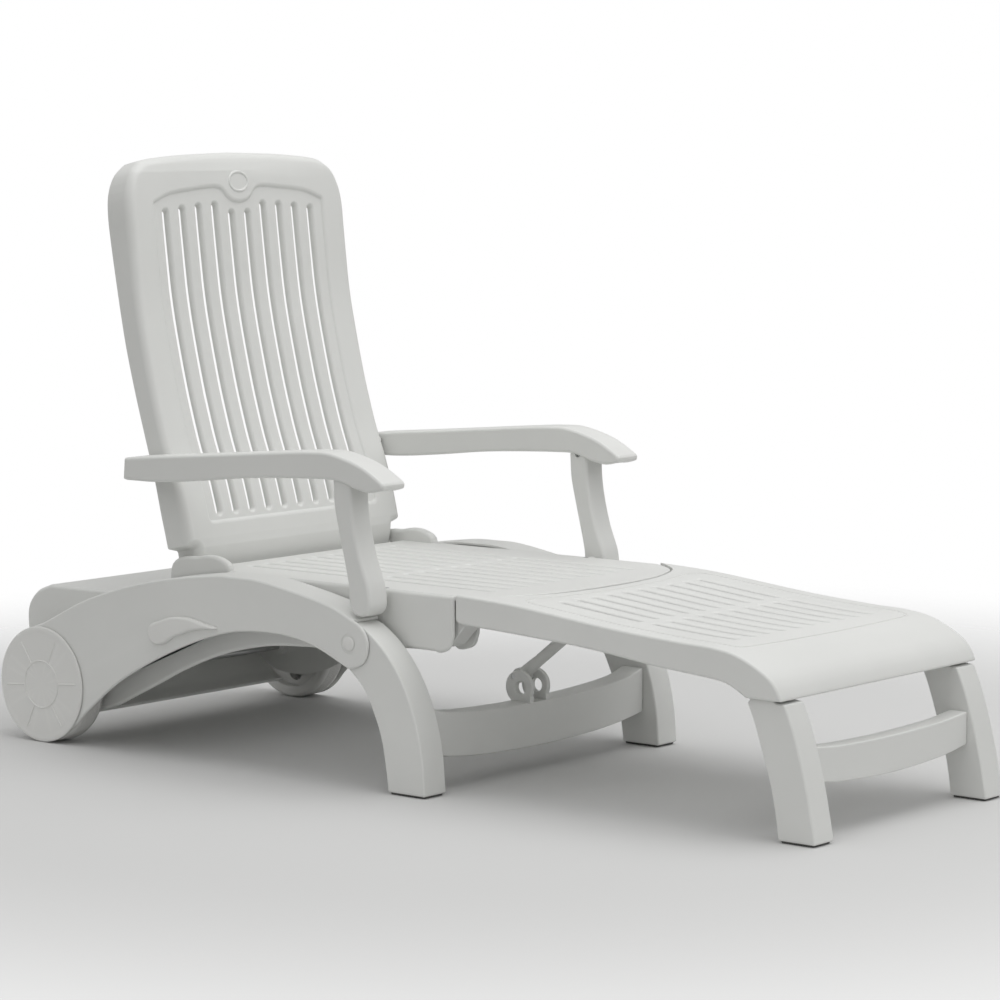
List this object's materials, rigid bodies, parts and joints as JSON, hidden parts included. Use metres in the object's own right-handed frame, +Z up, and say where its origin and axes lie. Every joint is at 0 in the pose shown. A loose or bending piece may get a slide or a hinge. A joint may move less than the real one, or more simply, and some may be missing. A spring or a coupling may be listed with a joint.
{
  "type": "reclining sun lounger",
  "caption": "Reclining garden sun lounger with slatted back, arched side frames, rear wheels, swinging armrests and a leg rest on folding legs.",
  "frame": {"origin": "centre of the bounding box's bottom face, on the ground", "axes": "+X towards the foot end, +Y towards the sitter's left, +Z up"},
  "size_m": [1.744, 0.732, 1.0576],
  "materials": {
    "resin_shell": "satin moulded",
    "resin_frame": "satin moulded",
    "resin_trim": "gloss moulded",
    "wheel_resin": "matt moulded",
    "foot_rubber": "matt",
    "pin_steel": "plated",
    "cam_resin": "matt"
  },
  "bodies": {
    "frame": {"seat_shell": "resin_shell", "side_frame_left": "resin_frame", "side_frame_right": "resin_frame", "wheel_axle": "pin_steel", "frame_bolts_left": "pin_steel", "frame_bolts_right": "pin_steel", "strut_pin_left": "pin_steel", "strut_pin_right": "pin_steel", "leg_pin_left": "resin_trim", "leg_pin_right": "resin_trim", "back_pin_left": "pin_steel", "back_pin_right": "pin_steel", "rest_pin_left": "pin_steel", "rest_pin_right": "pin_steel"},
    "backrest": {"backrest_panel": "resin_shell", "lug_pin_left": "pin_steel", "lug_pin_right": "pin_steel"},
    "strut_left": {"arm_strut_left": "resin_frame", "arm_pin_left": "pin_steel"},
    "strut_right": {"arm_strut_right": "resin_frame", "arm_pin_right": "pin_steel"},
    "arm_left": {"armrest_left": "resin_frame"},
    "arm_right": {"armrest_right": "resin_frame"},
    "leg_rest": {"legrest_panel": "resin_shell", "brace_cradle": "resin_trim", "front_pin_left": "pin_steel", "front_pin_right": "pin_steel"},
    "mid_legs": {"mid_leg_left": "resin_frame", "mid_leg_right": "resin_frame", "mid_stretcher": "resin_frame", "brace_pin": "pin_steel", "mid_pad_left": "foot_rubber", "mid_pad_right": "foot_rubber"},
    "brace": {"brace_rod": "resin_trim"},
    "front_legs": {"front_leg_left": "resin_frame", "front_leg_right": "resin_frame", "front_stretcher": "resin_frame", "front_pad_left": "foot_rubber", "front_pad_right": "foot_rubber"},
    "wheel_left": {"wheel_left": "wheel_resin", "hub_cap_left": "resin_trim"},
    "wheel_right": {"wheel_right": "wheel_resin", "hub_cap_right": "resin_trim"},
    "lever_left": {"lever_left": "resin_trim", "lever_cam_left": "cam_resin"},
    "lever_right": {"lever_right": "resin_trim", "lever_cam_right": "cam_resin"}
  },
  "joints": [
    {"name": "backrest_recline", "type": "hinge", "parent": "frame", "child": "backrest", "pos_m": [-0.478, 0, 0.322], "axis": [0, 1, 0], "range_deg": [-60, 30]},
    {"name": "strut_swing_left", "type": "hinge", "parent": "frame", "child": "strut_left", "pos_m": [-0.009, 0.3205, 0.322], "axis": [0, 1, 0], "range_deg": [-60, 30]},
    {"name": "strut_swing_right", "type": "hinge", "parent": "frame", "child": "strut_right", "pos_m": [-0.009, -0.3205, 0.322], "axis": [0, 1, 0], "range_deg": [-60, 30]},
    {"name": "arm_level_left", "type": "hinge", "parent": "strut_left", "child": "arm_left", "pos_m": [-0.046, 0.3205, 0.516], "axis": [0, 1, 0], "range_deg": [-30, 60]},
    {"name": "arm_level_right", "type": "hinge", "parent": "strut_right", "child": "arm_right", "pos_m": [-0.046, -0.3205, 0.516], "axis": [0, 1, 0], "range_deg": [-30, 60]},
    {"name": "legrest_fold", "type": "hinge", "parent": "frame", "child": "leg_rest", "pos_m": [0.117, 0, 0.265], "axis": [0, 1, 0], "range_deg": [0, 120]},
    {"name": "mid_leg_fold", "type": "hinge", "parent": "frame", "child": "mid_legs", "pos_m": [-0.02, 0, 0.246], "axis": [0, 1, 0], "range_deg": [0, 72]},
    {"name": "brace_fold", "type": "hinge", "parent": "mid_legs", "child": "brace", "pos_m": [0.066, 0, 0.16], "axis": [0, 1, 0], "range_deg": [0, 48]},
    {"name": "front_leg_fold", "type": "hinge", "parent": "leg_rest", "child": "front_legs", "pos_m": [0.772, 0, 0.238], "axis": [0, 1, 0], "range_deg": [0, 90]},
    {"name": "wheel_spin_left", "type": "hinge", "parent": "frame", "child": "wheel_left", "pos_m": [-0.759, 0.325, 0.105], "axis": [0, 1, 0], "continuous": true},
    {"name": "wheel_spin_right", "type": "hinge", "parent": "frame", "child": "wheel_right", "pos_m": [-0.759, -0.325, 0.105], "axis": [0, 1, 0], "continuous": true},
    {"name": "lever_turn_left", "type": "hinge", "parent": "frame", "child": "lever_left", "pos_m": [-0.466, 0.36, 0.224], "axis": [0, 1, 0], "range_deg": [0, 50]},
    {"name": "lever_turn_right", "type": "hinge", "parent": "frame", "child": "lever_right", "pos_m": [-0.466, -0.36, 0.224], "axis": [0, 1, 0], "range_deg": [0, 50]}
  ],
  "couplings": [
    {"joint": "strut_swing_left", "follows": "backrest_recline", "ratio": 1},
    {"joint": "strut_swing_right", "follows": "backrest_recline", "ratio": 1},
    {"joint": "arm_level_left", "follows": "backrest_recline", "ratio": -1},
    {"joint": "arm_level_right", "follows": "backrest_recline", "ratio": -1},
    {"joint": "mid_leg_fold", "follows": "legrest_fold", "ratio": 0.6},
    {"joint": "brace_fold", "follows": "legrest_fold", "ratio": 0.4},
    {"joint": "front_leg_fold", "follows": "legrest_fold", "ratio": 0.75}
  ]
}
